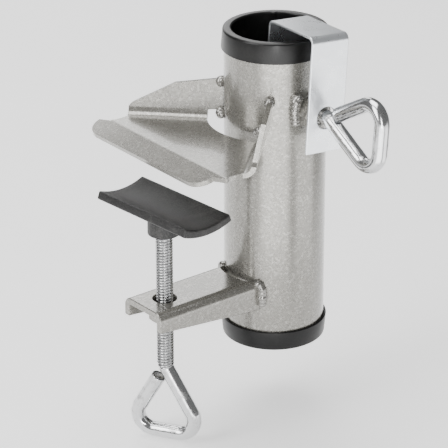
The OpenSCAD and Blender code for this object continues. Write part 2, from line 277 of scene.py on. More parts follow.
@dataclass
class Sheet:
    """A plate: faces drawn on a flat blank, carried by a fold map, and given a thickness.

    The fold map takes (s, t) of the blank and a height h above its top face to a point in space.
    A rolled blank has a girth, and its two ends in s are welded together.
    """

    fold: Callable[[Array, Array, float], Array]
    thickness: float
    girth: float = 0.0
    points: list[Array] = field(default_factory=list)
    faces: list[list[int]] = field(default_factory=list)
    count: int = 0

    def panel(self, outline: Array) -> None:
        """Adds one flat face from its outline on the blank, anticlockwise."""
        self.points.append(np.asarray(outline, float))
        self.faces.append(list(range(self.count, self.count + len(outline))))
        self.count += len(outline)

    def grid(self, s: Array, t: Array) -> None:
        """Adds quads over a grid of blank coordinates.

        Args:
            s: rows x columns of first coordinates.
            t: rows x columns of second coordinates.
        """
        rows, cols = s.shape
        index = np.arange(rows * cols).reshape(rows, cols) + self.count
        quads = np.stack([index[:-1, :-1], index[1:, :-1], index[1:, 1:], index[:-1, 1:]], -1).reshape(-1, 4)
        self.points.append(np.stack([s, t], -1).reshape(-1, 2))
        self.faces.extend(quads.tolist())
        self.count += rows * cols

    def hole(self, border: Array, centre: Sequence[float], radius: float) -> None:
        """Fills the space between a closed border and a round hole with three rings of quads.

        Args:
            border: points of the border, anticlockwise.
            centre: the hole's centre.
            radius: the hole's radius.
        """
        border = np.concatenate([border, border[:1]])
        out = border - np.asarray(centre, float)
        rim = out / np.linalg.norm(out, axis=1, keepdims=True) * radius
        share = np.array([0.0, 0.12, 0.5, 1.0])[:, None, None]
        ring = np.asarray(centre, float) + rim * (1 - share) + out * share
        self.grid(ring[..., 0], ring[..., 1])

    def shell(self) -> Shell:
        """Welds the blank, maps both faces, and walls the open edges.

        Returns:
            The closed plate.
        """
        flat = np.concatenate(self.points)
        key = np.round(flat / 2e-3).astype(np.int64)
        if self.girth:
            key[:, 0] %= round(self.girth / 2e-3)
        _, first, inverse = np.unique(key, axis=0, return_index=True, return_inverse=True)
        inverse = inverse.reshape(-1)
        flat = flat[first]
        loops = []
        for loop in self.faces:
            mapped = [int(inverse[i]) for i in loop]
            kept = [v for k, v in enumerate(mapped) if v != mapped[k - 1]]
            if len(kept) > 2:
                loops.append(kept)
        used = {(a, b) for loop in loops for a, b in zip(loop, loop[1:] + loop[:1])}
        rim = [edge for edge in used if edge[::-1] not in used]
        size = len(flat)
        top = self.fold(flat[:, 0], flat[:, 1], 0.0)
        low = self.fold(flat[:, 0], flat[:, 1], -self.thickness)
        walls = [[a, a + size, b + size, b] for a, b in rim]
        shell = Shell()
        under = [[v + size for v in loop[::-1]] for loop in loops]
        shell.add(np.concatenate([top, low]), loops + under + walls)
        return shell


# ---------------------------------------------------------------- materials


class Value:
    """A socket that carries numbers, so that shader maths is written as an expression."""

    def __init__(self, nodes: Nodes, socket: bpy.types.NodeSocket) -> None:
        """Keeps the socket and the tree that it belongs to."""
        self.nodes = nodes
        self.socket = socket

    def _with(self, operation: str, first: Term, second: Term) -> Value:
        """Adds one Math node with two terms."""
        node = self.nodes.node("ShaderNodeMath", {"operation": operation}, {0: first, 1: second})
        return Value(self.nodes, node.outputs[0])

    def __add__(self, other: Term) -> Value:
        """self + other."""
        return self._with("ADD", self, other)

    __radd__ = __add__

    def __sub__(self, other: Term) -> Value:
        """self - other."""
        return self._with("SUBTRACT", self, other)

    def __rsub__(self, other: Term) -> Value:
        """other - self."""
        return self._with("SUBTRACT", other, self)

    def __mul__(self, other: Term) -> Value:
        """self * other."""
        return self._with("MULTIPLY", self, other)

    __rmul__ = __mul__

    def __truediv__(self, other: Term) -> Value:
        """self / other."""
        return self._with("DIVIDE", self, other)

    def above(self, edge: float, soft: float) -> Value:
        """A mask that rises from 0 to 1 as the value passes an edge, over a soft width."""
        node = self.nodes.node("ShaderNodeMapRange", {"interpolation_type": "SMOOTHSTEP"},
                               {"Value": self, "From Min": edge - soft, "From Max": edge + soft})
        return Value(self.nodes, node.outputs["Result"])


Term = Value | float | bpy.types.NodeSocket


class Nodes:
    """The node tree of one material."""

    def __init__(self, name: str) -> None:
        """Makes a material whose surface is one Principled shader."""
        self.material = bpy.data.materials.new(name)
        self.material.use_nodes = True
        self.tree = self.material.node_tree
        self.shader = self.tree.nodes["Principled BSDF"]
        self.where = self.node("ShaderNodeTexCoord", {}, {}).outputs["Object"]

    def node(self, kind: str, settings: dict, inputs: dict) -> bpy.types.Node:
        """Adds a node.

        Args:
            kind: the node's type.
            settings: its own settings, which are set first.
            inputs: values or links of its sockets, by name or number.

        Returns:
            The node.
        """
        node = self.tree.nodes.new(kind)
        for key, value in settings.items():
            setattr(node, key, value)
        for key, value in inputs.items():
            self.join(node.inputs[key], value)
        return node

    def join(self, socket: bpy.types.NodeSocket, value: object) -> None:
        """Links a value to a socket, or sets the socket to a plain number or colour."""
        if isinstance(value, Value):
            self.tree.links.new(value.socket, socket)
        elif isinstance(value, bpy.types.NodeSocket):
            self.tree.links.new(value, socket)
        else:
            socket.default_value = value

    def noise(self, size_mm: float, detail: float = 2.0, rough: float = 0.5, where: object = None) -> Value:
        """Fractal noise from 0 to 1 with features of a given size in millimetres."""
        scale = 1 / (size_mm * MM)
        inputs = {"Vector": where or self.where, "Scale": scale, "Detail": detail, "Roughness": rough}
        node = self.node("ShaderNodeTexNoise", {}, inputs)
        return Value(self, node.outputs["Fac"])

    def cells(self, size_mm: float) -> Value:
        """One random value from 0 to 1 for each cell of a given size in millimetres."""
        node = self.node("ShaderNodeTexVoronoi", {"feature": "F1"},
                         {"Vector": self.where, "Scale": 1 / (size_mm * MM), "Randomness": 1.0})
        split = self.node("ShaderNodeSeparateColor", {}, {"Color": node.outputs["Color"]})
        return Value(self, split.outputs[0])

    def stretched(self, along_mm: float, across_mm: float) -> bpy.types.NodeSocket:
        """The piece's own flow coordinates, scaled so that noise of size 1 mm is drawn out along them."""
        flow = self.node("ShaderNodeAttribute", {"attribute_name": "flow"}, {}).outputs["Vector"]
        scale = (1 / across_mm, 1 / across_mm, 1 / along_mm)
        return self.node("ShaderNodeMapping", {}, {"Vector": flow, "Scale": scale}).outputs[0]

    def mix(self, share: Term, low: Sequence[float] | object,
            high: Sequence[float] | object) -> bpy.types.NodeSocket:
        """A colour between two colours.

        Args:
            share: how much of the second colour there is.
            low: the first colour, as three numbers or a socket.
            high: the second colour, as three numbers or a socket.

        Returns:
            The mixed colour's socket.
        """
        colour = [c if not isinstance(c, tuple) else (*c, 1.0) for c in (low, high)]
        node = self.node("ShaderNodeMix", {"data_type": "RGBA"}, {"Factor": share})
        self.join(node.inputs[6], colour[0])
        self.join(node.inputs[7], colour[1])
        return node.outputs[2]

    def bump(self, height: Value, depth_mm: float, strength: float = 1.0,
             under: bpy.types.NodeSocket | None = None) -> bpy.types.NodeSocket:
        """A bumped normal from a height of 0 to 1 over a depth in millimetres."""
        inputs = {"Height": height, "Distance": depth_mm * MM, "Strength": strength}
        if under is not None:
            inputs["Normal"] = under
        return self.node("ShaderNodeBump", {}, inputs).outputs[0]

    def surface(self, **inputs: object) -> bpy.types.Material:
        """Sets the Principled shader's sockets, whose names are given with underscores.

        Returns:
            The material.
        """
        for key, value in inputs.items():
            self.join(self.shader.inputs[key.replace("_", " ")], value)
        return self.material


Colour = tuple[float, float, float]


@dataclass(frozen=True)
class Finish:
    """A finish that dresses pieces. Each is made into a material once."""

    name: str

    def material(self) -> bpy.types.Material:
        """The finish's material, made at its first use."""
        return bpy.data.materials.get(self.name) or self.make(Nodes(self.name))

    def make(self, n: Nodes) -> bpy.types.Material:
        """Builds the node tree."""
        raise NotImplementedError


@dataclass(frozen=True)
class FlakePaint(Finish):
    """Silver-grey paint with metal flake, a soft coat over it and a slight orange peel."""

    dark: Colour
    mid: Colour
    light: Colour
    rough: float
    coat: float
    flake: float
    peel_mm: float = 0.02

    def make(self, n: Nodes) -> bpy.types.Material:
        """Flakes are cells of two sizes, and the tone drifts slowly over the sheet."""
        fine, coarse = n.cells(0.6), n.cells(1.05)
        grain = fine * 0.5 + coarse * 0.5
        drift = n.noise(38, 3.0)
        tone = n.mix((grain - 0.5) * self.flake + (drift - 0.5) * 0.35 + 0.5, self.dark, self.mid)
        tone = n.mix(coarse.above(0.86, 0.06) * 0.3 * self.flake, tone, self.light)
        wear = n.noise(9, 4.0, 0.6)
        peel = n.bump(n.noise(2.6, 2.0), self.peel_mm)
        return n.surface(Base_Color=tone, Metallic=0.55 + 0.25 * grain,
                         Roughness=self.rough + 0.12 * wear - 0.06,
                         Coat_Weight=self.coat, Coat_Roughness=0.09, Normal=peel)


@dataclass(frozen=True)
class BrightZinc(Finish):
    """Bright plating on drawn wire: mirror-like, with fine draw marks along the wire, dull patches and
    painted shade in the thread's grooves.
    """

    bright: Colour = (0.68, 0.685, 0.69)
    dull: Colour = (0.34, 0.34, 0.34)
    # radius under which the thread is painted dark as shade
    painted_groove_shade_r: float = 4.2
    end_face_r: float = 3.5

    def make(self, n: Nodes) -> bpy.types.Material:
        """Draw marks are noise drawn out along the wire, and the thread's grooves, with part of the inner
        side of each bend, are painted near black as shade.
        """
        marks = n.noise(1000, 3.0, 0.6, n.stretched(14, 0.7))
        patch = n.noise(5, 4.0, 0.62)
        stain = patch.above(0.6, 0.1)
        tone = n.mix(stain * 0.5 + marks * 0.25, self.bright, self.dull)
        flow = n.node("ShaderNodeAttribute", {"attribute_name": "flow"}, {}).outputs["Vector"]
        flat = n.node("ShaderNodeVectorMath", {"operation": "MULTIPLY"}, {0: flow, 1: (1.0, 1.0, 0.0)})
        length = n.node("ShaderNodeVectorMath", {"operation": "LENGTH"}, {0: flat.outputs[0]})
        radius = Value(n, length.outputs["Value"])
        # painted shade: where the radius lies between the end face's and the groove's (in the thread's
        # grooves and partly on the inner side of bends) the colour goes to near black
        crest = radius.above(self.painted_groove_shade_r, 0.22) + (1.0 - radius.above(self.end_face_r, 0.2))
        tone = n.mix(crest, (0.07, 0.07, 0.07), tone)
        rough = 0.09 + 0.12 * marks + 0.18 * stain
        fine = n.bump(marks, 0.02)
        return n.surface(Base_Color=tone, Metallic=1.0, Roughness=rough,
                         Normal=n.bump(n.noise(1.1, 3.0), 0.012, 1.0, fine))


@dataclass(frozen=True)
class SatinZinc(Finish):
    """Pale blue-grey plating on rolled sheet: satin, with faint speckle and soft clouds."""

    pale: Colour = (0.9, 0.925, 0.95)
    cloud: Colour = (0.76, 0.79, 0.82)

    def make(self, n: Nodes) -> bpy.types.Material:
        """Clouds come from slow noise and the speckle from small cells."""
        cloud = n.noise(11, 4.0, 0.6)
        speck = n.cells(0.5)
        tone = n.mix(cloud * 0.7 + speck * 0.3, self.pale, self.cloud)
        rough = 0.2 + 0.16 * cloud + 0.05 * speck
        skin = n.bump(n.noise(0.8, 3.0), 0.01)
        return n.surface(Base_Color=tone, Metallic=0.92, Roughness=rough, Normal=skin)


@dataclass(frozen=True)
class SpringSteel(Finish):
    """Oiled spring steel, dark and a little brushed."""

    tone: Colour = (0.3, 0.3, 0.31)

    def make(self, n: Nodes) -> bpy.types.Material:
        """A dull metal whose tone and roughness drift."""
        drift = n.noise(1.5, 4.0)
        return n.surface(Base_Color=n.mix(drift, self.tone, (0.16, 0.15, 0.15)), Metallic=1.0,
                         Roughness=0.3 + 0.2 * drift, Normal=n.bump(drift, 0.01))


@dataclass(frozen=True)
class BlackMoulding(Finish):
    """Black moulded plastic with a grain, scuffed here and there."""

    tone: Colour
    scuffed: Colour
    rough: float
    grain_mm: float
    grain_depth_mm: float
    sheen: float

    def make(self, n: Nodes) -> bpy.types.Material:
        """Grain is fine noise in the bump, and scuffs lighten and dull the surface."""
        grain = n.noise(self.grain_mm, 3.0, 0.6)
        flow = n.noise(16, 4.0, 0.6)
        scuff = flow.above(0.62, 0.12)
        tone = n.mix(scuff * 0.5 + (grain - 0.4) * 1.3, self.tone, self.scuffed)
        return n.surface(Base_Color=tone, Roughness=self.rough + 0.12 * grain + 0.1 * scuff - 0.06,
                         Specular_IOR_Level=self.sheen, Normal=n.bump(grain, self.grain_depth_mm))


SILVER = FlakePaint("silver_flake_paint", dark=(0.14, 0.134, 0.12), mid=(0.34, 0.33, 0.3),
                    light=(0.6, 0.59, 0.56), rough=0.27, coat=0.8, flake=0.6)
WELD = FlakePaint("painted_weld_metal", dark=(0.15, 0.145, 0.132), mid=(0.34, 0.33, 0.31),
                  light=(0.6, 0.59, 0.57), rough=0.22, coat=0.95, flake=0.2)
COLLAR = BlackMoulding("collar_moulding", tone=(0.004, 0.004, 0.004), scuffed=(0.014, 0.0135, 0.013),
                       rough=0.3, grain_mm=0.7, grain_depth_mm=0.012, sheen=0.28)
PAD = BlackMoulding("pad_moulding", tone=(0.005, 0.005, 0.005), scuffed=(0.07, 0.067, 0.065),
                    rough=0.5, grain_mm=0.8, grain_depth_mm=0.12, sheen=0.4)
WIRE = BrightZinc("bright_zinc_wire")
STRAP = SatinZinc("satin_zinc_sheet")
SPRING = SpringSteel("spring_steel")


# ---------------------------------------------------------------- the holder's layout


@dataclass
class Layout:
    """Where the holder's sub-assemblies meet, in millimetres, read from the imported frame."""

    tube_r: float
    total_h: float
    clamp_x: float
    arm_top: float
    arm_reach: float
    arm_half: float
    ring_z: float
    boss_z: float
    pad_z: float
    rod_screw_z: float
    screw_tip_z: float

    @staticmethod
    def from_frame() -> Layout:
        """Reads the boxes of the CAD nodes.

        Returns:
            The layout.
        """
        def box(node: str) -> Array:
            """A node's lowest and highest corners, in millimetres."""
            return np.array([list(corner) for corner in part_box(node)]) / MM

        tube, arm, nut = box("main_tube"), box("lower_arm"), box("arm_nut")
        ring, pad = box("pad_retaining_ring"), box("clamp_pad")
        screw, rod_nut = box("clamp_screw"), box("rod_nut")
        return Layout(tube_r=tube[1, 0], total_h=box("top_collar")[1, 2], clamp_x=-nut[:, 0].mean(),
                      arm_top=arm[1, 2], arm_reach=-arm[0, 0], arm_half=arm[1, 1], ring_z=ring[:, 2].mean(),
                      boss_z=pad[0, 2], pad_z=pad[1, 2], rod_screw_z=rod_nut[:, 2].mean(),
                      screw_tip_z=screw[1, 2])


def place(points: Array, turn_deg: float = 0.0, shift: Sequence[float] = (0.0, 0.0, 0.0)) -> Array:
    """Turns points about Z and shifts them."""
    c, s = math.cos(math.radians(turn_deg)), math.sin(math.radians(turn_deg))
    return points @ np.array([[c, s, 0], [-s, c, 0], [0, 0, 1]]) + np.asarray(shift, float)


def fillet(outline: Array, radii: Sequence[float], steps: int = 5) -> Array:
    """A closed outline whose corners are rounded by arcs tangent to both sides.

    Args:
        outline: n x 2 corners.
        radii: a radius for each corner, 0 to leave it.
        steps: points on each arc, less one.

    Returns:
        The rounded outline.
    """
    points = []
    last, following = np.roll(outline, 1, axis=0), np.roll(outline, -1, axis=0)
    for before, here, after, radius in zip(last, outline, following, radii):
        if radius == 0:
            points.append(here[None])
            continue
        inward, outward = unit(here - before), unit(after - here)
        turn = math.acos(float(np.clip(inward @ outward, -1, 1)))
        start = here - inward * radius * math.tan(turn / 2)
        normal = unit(outward - inward * (inward @ outward))
        angle = np.linspace(0, turn, steps + 1)[:, None]
        points.append(start + radius * (np.sin(angle) * inward + (1 - np.cos(angle)) * normal))
    return np.concatenate(points)


def weld_bead(path: Array, radius: float, seed: int) -> Shell:
    """A run of weld metal: a circle swept along its path, swollen by its drops and closed at both ends.

    The radius follows a rounded end, a ripple for each drop and a smooth random lumpiness.

    Args:
        path: the run's corner points.
        radius: its mean radius.
        seed: fixes the lumps.

    Returns:
        The closed bead.
    """
    line = rounded_path(path, [radius] * (len(path) - 2), 0.22) if len(path) > 2 else \
        path[0] + np.linspace(0, 1, 40)[:, None] * (path[1] - path[0])
    share = np.linspace(-1, 1, len(line))
    length = np.linalg.norm(np.diff(line, axis=0), axis=1).sum()
    end = np.sqrt(np.clip(1 - np.abs(share) ** max(2.0, length / radius), 0.004, 1))
    drops = 1 + 0.045 * np.cos(TAU * share * length / (2 * 2.6))
    upright = abs(unit(line[-1] - line[0])[2]) >= 0.9
    rough = sweep(line, radius * end, 28, (1, 0.2, 0) if upright else (0.31, 0.2, 0.93))
    lumps = 1 + 0.1 * ripple(seed, 8, 4.5)(rough.reshape(-1, 3)).reshape(rough.shape[:2])
    grid = line[:, None] + (rough - line[:, None]) * (lumps * drops[:, None])[..., None]
    shell = Shell()
    shell.grid(grid)
    return shell


# ---------------------------------------------------------------- tube and collars


@dataclass
class SocketTube:
    """The painted tube with its rod screw hole, and the two moulded collars that cap it."""

    at: Layout
    wall: float = 2.0
    foot: float = 2.5
    hole_r: float = 5.5
    columns: int = 192
    collar_bore_r: float = 25.5
    skirt_h: float = 12.0
    skirt_t: float = 1.5
    sleeve_h: float = 20.0
    nub_deg: float = -128.0
    nub_width: float = 0.035

    def roll(self, s: Array, t: Array, h: float) -> Array:
        """Rolls the blank: s becomes an arc round the axis from the -Y side, and t the height."""
        angle = s / self.at.tube_r - math.pi / 2
        r = self.at.tube_r + h
        return np.stack([r * np.cos(angle), r * np.sin(angle), t], -1)

    def build_tube(self) -> bpy.types.Object:
        """A rolled blank: a fine square round the hole, and plain rows above and below it."""
        girth = TAU * self.at.tube_r
        pitch = girth / self.columns
        reach = 12
        s = (np.arange(self.columns + 1) - self.columns // 2) * pitch
        t_mid = self.at.rod_screw_z + np.arange(-reach, reach + 1) * pitch
        t = np.concatenate([[self.foot], t_mid, [self.at.total_h - self.foot]])
        sheet = Sheet(self.roll, self.wall, girth)
        low, high = self.columns // 2 - reach, self.columns // 2 + reach
        for s_part, t_part in ((s, t[:2]), (s, t[-2:]), (s[:low + 1], t_mid), (s[high:], t_mid)):
            sheet.grid(*np.meshgrid(s_part, t_part, indexing="ij"))
        side = s[low:high + 1]
        sheet.hole(square_border(side, t_mid), (0, self.at.rod_screw_z), self.hole_r)
        return sheet.shell().build("main_tube_shell", SILVER, Edge.SHEARED)

    def collar_outline(self) -> Array:
        """The collar's section (r, z): flange at the bottom, skirt outside, sleeve inside."""
        r = self.at.tube_r
        skirt_in, sleeve_out = r + 0.15, r - self.wall - 0.15
        skirt_out = skirt_in + self.skirt_t
        return np.concatenate([
            arc((self.collar_bore_r + 1.0, 1.0), 1.0, 180, 270, 6),
            arc((skirt_out - 2.3, 1.4), 1.4, 270, 352, 10),
            arc((skirt_out - 0.4, self.skirt_h - 0.4), 0.4, 0, 90, 4),
            arc((skirt_in + 0.3, self.skirt_h - 0.3), 0.3, 90, 180, 3),
            [[skirt_in, self.foot], [sleeve_out, self.foot]],
            arc((sleeve_out - 0.7, self.sleeve_h - 0.4), 0.4, 0, 90, 3),
            arc((self.collar_bore_r + 0.4, self.sleeve_h - 0.4), 0.4, 90, 180, 3)])

    def nubs(self, angle: Array, outline: Array) -> Array:
        """Two small moulded nubs on the bore's edge, where the radius falls by up to 0.9 mm."""
        away = [np.angle(np.exp(1j * (angle - math.radians(self.nub_deg + turn)))) for turn in (0.0, 180.0)]
        bump = sum(np.exp(-((gap / self.nub_width) ** 2)) for gap in away)
        rim = np.exp(-((outline[:, 1] - 0.6) / 1.3) ** 2) * (outline[:, 0] < self.collar_bore_r + 0.8)
        return -0.9 * rim[:, None] * bump

    def build_collars(self) -> list[bpy.types.Object]:
        """The two collars, the top one upside down."""
        grid = revolve(self.collar_outline(), 240, self.nubs)
        pieces = []
        for name, sign, base in (("bottom_collar_moulding", 1, 0.0),
                                 ("top_collar_moulding", -1, self.at.total_h)):
            shell = Shell()
            turned = grid if sign > 0 else grid[::-1]
            shell.grid(turned * (1, 1, sign) + (0, 0, base), caps=False)
            pieces.append(shell.build(name, COLLAR))
        return pieces

    def dress(self) -> None:
        """Builds the pieces and sets them on the frame."""
        tube = self.build_tube()
        bottom, top = self.build_collars()
        settle(tube, "frame", "silver_paint", "main_tube")
        settle(bottom, "frame", "black_collar", "bottom_collar")
        settle(top, "frame", "black_collar", "top_collar")


def square_border(s: Array, t: Array) -> Array:
    """The points round the border of a lattice, anticlockwise from its first corner."""
    return np.concatenate([np.stack([s[:-1], np.full(len(s) - 1, t[0])], -1),
                           np.stack([np.full(len(t) - 1, s[-1]), t[:-1]], -1),
                           np.stack([s[:0:-1], np.full(len(s) - 1, t[-1])], -1),
                           np.stack([np.full(len(t) - 1, s[0]), t[:0:-1]], -1)])


def settle(piece: bpy.types.Object, body: str, slot: str, *nodes: str) -> None:
    """Rides a piece on its body and lets it stand for CAD nodes, which it hides.

    Args:
        piece: the piece.
        body: the CAD body that it moves with.
        slot: not used.
        nodes: the CAD nodes that it replaces.
    """
    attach(piece, body)
    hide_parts(*nodes)
    LOG.info("%s rides on %s", piece.name, body)


# ---------------------------------------------------------------- painted sheet parts


@dataclass
class UpperJaw:
    """The folded jaw: a floor, two upright wings that reach the tube, and a lip folded down."""

    at: Layout
    sheet_t: float = 3.0
    floor_z: float = 136.8
    yaw_deg: float = -1.6
    gap_r: float = 39.5
    root: tuple[float, float] = (-31.53, 20.07)
    fold_r: float = 5.0
    fold_deg: float = 82.0
    fold_from: float = 2.6
    wing_len: float = 49.5
    lip_x: float = -76.9
    lip_half: float = 55.2
    lip_r: float = 5.0
    lip_deg: float = 18.0
    lip_len: float = 13.5
    lip_corner_r: float = 10.7
    lip_shift: float = 7.8
    end_half: float = 55.0
    waist: tuple[tuple[float, float], ...] = ((-71.5, 54.4), (-75.0, 54.2))

    def fold(self, s: Array, t: Array, h: float) -> Array:
        """Folds the blank, drawn as the floor's plan (x, y) seen from above.

        Past a wing's fold line by d, a point turns up round the fold by d / fold_r, and past the fold
        it goes on along the wing. Past the front line it turns down round the lip's fold the same way.
        """
        side = np.where(t < 0, -1.0, 1.0)
        x, y = s.copy(), t * side
        z = np.full_like(s, self.floor_z + h)
        half = math.sqrt(0.5)
        d = (x - self.root[0]) * half + (y - self.root[1]) * half
        wing = (d > 1e-6) & (x > self.lip_x + 2)
        turn = math.radians(self.fold_deg)
        on = np.minimum(d / self.fold_r, turn)
        past = np.maximum(d - self.fold_r * turn, 0)
        out = (self.fold_r - h) * np.sin(on) + past * math.cos(turn)
        rise = self.fold_r - (self.fold_r - h) * np.cos(on) + past * math.sin(turn)
        x = np.where(wing, x + (out - d) * half, x)
        y = np.where(wing, y + (out - d) * half, y)
        z = np.where(wing, self.floor_z + rise, z)
        e = self.lip_x - s
        lip = (e > 1e-6) & ~wing
        turn = math.radians(self.lip_deg)
        on = np.clip(e / self.lip_r, 0, turn)
        past = np.maximum(e - self.lip_r * turn, 0)
        x = np.where(lip, self.lip_x - (self.lip_r + h) * np.sin(on) - past * math.cos(turn), x)
        fall = self.floor_z - self.lip_r + (self.lip_r + h) * np.cos(on) - past * math.sin(turn)
        z = np.where(lip, fall, z)
        return place(np.stack([x, y * side, z], -1), self.yaw_deg)

    def on_fold(self, u: Array | float, d: Array | float) -> Array:
        """Blank points at u along the +Y wing's fold line and d past it."""
        half = math.sqrt(0.5)
        return np.stack([self.root[0] - half * u + half * d, self.root[1] + half * u + half * d], -1)

    def build(self) -> bpy.types.Object:
        """Draws the blank: one panel each for the floor, wings and lip, with strips at the folds."""
        sheet = Sheet(self.fold, self.sheet_t)
        strip = self.fold_r * math.radians(self.fold_deg)
        start, end = self.on_fold(self.fold_from, 0.0), self.on_fold(self.wing_len, 0.0)
        reach = self.on_fold(2.17, 0.0)
        sweep_deg = math.degrees(math.atan2(reach[1], -reach[0]))
        rear = arc((0, 0), self.gap_r, 180 - sweep_deg, 180, 14)
        corners = np.array([[end[0], end[1]], *self.waist, [self.lip_x, self.lip_half]])
        waist = fillet(corners, [0, 9, 4, 0], 4)
        upper = np.concatenate([rear[::-1][:-1], start[None], waist])
        sheet.panel(np.concatenate([upper, (upper * (1, -1))[::-1][:-1]]))
        wing = np.array([[-6.4, 0.66], [self.fold_from, 0], [self.wing_len, 0], [47.9, 1.96], [22.6, 15.06],
                         [-6.1, 19.16]])
        rounded = fillet(wing, [0, 0, 0, 4.0, 2.5, 1.0], 5)
        d = np.linspace(0, strip, 10)
        for side in (1, -1):
            u, dd = np.meshgrid([self.fold_from, self.wing_len], d, indexing="ij")
            band = self.on_fold(u, dd) * (1, side)
            panel = self.on_fold(rounded[:, 0], strip + rounded[:, 1]) * (1, side)
            sheet.panel(panel[::-1] if side > 0 else panel)
            band = band[::-1] if side > 0 else band
            sheet.grid(band[..., 0], band[..., 1])
        bend = self.lip_r * math.radians(self.lip_deg)
        x = self.lip_x - np.linspace(0, bend, 6)
        grid_x, grid_y = np.meshgrid(x, [self.lip_half, -self.lip_half], indexing="ij")
        sheet.grid(grid_x, grid_y)
        tip = self.lip_x - bend
        far = tip - self.lip_len
        r, reach = self.lip_corner_r, self.end_half - self.lip_corner_r
        sheet.panel(np.concatenate([[[tip, self.lip_half]],
                                    arc((far + r, self.lip_shift + reach), r, 90, 180, 12),
                                    arc((far + r, self.lip_shift - reach), r, 180, 270, 12),
                                    [[tip, -self.lip_half]]]))
        return sheet.shell().build("upper_jaw_sheet", SILVER, Edge.SHEARED)

    def beads(self) -> None:
        """The four weld runs that hold the wings to the tube."""
        for side, far in (("far", 1), ("near", -1)):
            top = np.array([[-22.9, 22.0, 154.6], [-22.0, 22.6, 157.8], [-21.6, 22.3, 161.2]]) * (1, far, 1)
            low = np.array([[-24.4, 20.6, 142.2], [-25.6, 18.4, 140.4], [-27.9, 15.4, 138.8]]) * (1, far, 1)
            for name, line, radius, seed in (("top", top, 3.3, 3), ("low", low, 3.0, 8)):
                bead = weld_bead(place(line, self.yaw_deg), radius, seed + far)
                piece = bead.build(f"jaw_weld_bead_{side}_{name}", WELD)
                settle(piece, "frame", "painted_weld", f"jaw_weld_{side}_{name}")

    def dress(self) -> None:
        """Builds the jaw and its welds and sets them on the frame."""
        settle(self.build(), "frame", "silver_paint", "upper_jaw")
        self.beads()


@dataclass
class LowerArm:
    """The channel arm under the rail, its nut for the clamp screw, and the welds of both."""

    at: Layout
    sheet_t: float = 4.0
    fold_r: float = 5.5
    hole_r: float = 7.0
    gap_r: float = 33.5
    tip_edge_z: float = 33.4
    root_edge_z: float = 25.5
    root_x: float = 18.0
    nut_h: float = 9.0

    def fold(self, s: Array, t: Array, h: float) -> Array:
        """Folds the blank: s runs across the channel, and t out along the arm.

        Past the web's half width, s turns down round the fold and then runs down the flange.
        """
        flat = self.at.arm_half - self.fold_r
        side = np.where(s < 0, -1.0, 1.0)
        over = np.maximum(np.abs(s) - flat, 0)
        on = np.minimum(over / self.fold_r, math.pi / 2)
        past = over - on * self.fold_r
        y = np.where(over > 0, flat + (self.fold_r + h) * np.sin(on), np.abs(s))
        z = self.at.arm_top - self.fold_r + (self.fold_r + h) * np.cos(on) - past
        return np.stack([-t, side * y, z], -1)

    def edge_s(self, t: Array) -> Array:
        """Blank coordinate of the flange's lower edge at each t."""
        edge = np.interp(t, [self.root_x, self.at.arm_reach], [self.root_edge_z, self.tip_edge_z])
        fold = self.fold_r * math.pi / 2
        return self.at.arm_half - self.fold_r + fold + self.at.arm_top - self.fold_r - edge

    def start_t(self, s: Array) -> Array:
        """Blank coordinate of the cut beside the tube: an arc with a gap, which closes at the flanges."""
        y = np.minimum(np.abs(s), self.at.arm_half)
        share = np.clip((np.abs(s) - 12.2) / 2.2, 0, 1)
        radius = self.gap_r + (self.at.tube_r + 0.3 - self.gap_r) * share * share * (3 - 2 * share)
        return np.sqrt(radius ** 2 - y ** 2)

    def build(self) -> bpy.types.Object:
        """Draws the blank: a lattice with the hole in it, plain rows to the tube, and the flanges."""
        flat = self.at.arm_half - self.fold_r
        web = np.linspace(-flat, flat, 13)
        fold = flat + np.linspace(0, self.fold_r * math.pi / 2, 10)
        mid = self.at.clamp_x + web
        t = np.concatenate([mid, [self.at.arm_reach]])
        sheet = Sheet(self.fold, self.sheet_t)
        sheet.grid(*np.meshgrid(web, t[-2:], indexing="ij"))
        sheet.hole(square_border(web, mid), (0, self.at.clamp_x), self.hole_r)
        share = np.linspace(0, 1, 9)[None, :]
        for part in (web, fold, -fold[::-1]):
            start = self.start_t(part)[:, None]
            sheet.grid(part[:, None] + 0 * share, start + (mid[0] - start) * share)
        for part in (fold, -fold[::-1]):
            sheet.grid(*np.meshgrid(part, t, indexing="ij"))
        down = np.linspace(0, 1, 5)[:, None]
        root = self.start_t(fold[-1:])[0]
        line = np.concatenate([root + (mid[0] - root) * share[0], t[1:]])[None, :]
        s = fold[-1] + (self.edge_s(line) - fold[-1]) * down
        sheet.grid(s, line + 0 * s)
        sheet.grid(-s[::-1], line + 0 * s)
        return sheet.shell().build("lower_arm_channel", SILVER, Edge.SHEARED)

    def dress(self) -> None:
        """Builds the arm, its nut and its welds and sets them on the frame."""
        settle(self.build(), "frame", "silver_paint", "lower_arm")
        top = self.at.arm_top - self.sheet_t
        nut = hex_nut(self.nut_h)
        nut_shell = Shell()
        nut_shell.grid(nut + (-self.at.clamp_x, 0, top - self.nut_h), caps=False)
        settle(nut_shell.build("arm_nut_forging", SILVER), "frame", "silver_paint", "arm_nut")
        drops = Shell()
        for turn in (0, 120, 240):
            a = math.radians(turn)
            middle = np.array([9.3 * math.cos(a) - self.at.clamp_x, 9.3 * math.sin(a), top - 0.7])
            along = np.array([-math.sin(a), math.cos(a), 0]) * 2.2
            bead = weld_bead(np.stack([middle - along, middle + along]), 1.5, 20 + turn)
            drops.add(bead.points[0], bead.faces)
        settle(drops.build("arm_nut_weld_drops", WELD), "frame", "painted_weld", "arm_nut_weld")
        for side, far in (("far", 1), ("near", -1)):
            line = np.array([[-24.3, 18.0 * far, 28.6], [-24.4, 18.3 * far, 36], [-24.6, 17.9 * far, 42.2],
                             [-27.3, 14.6 * far, 44.8]])
            bead = weld_bead(line, 3.0, 31 + far)
            settle(bead.build(f"arm_weld_bead_{side}", WELD), "frame", "painted_weld", f"arm_weld_{side}")


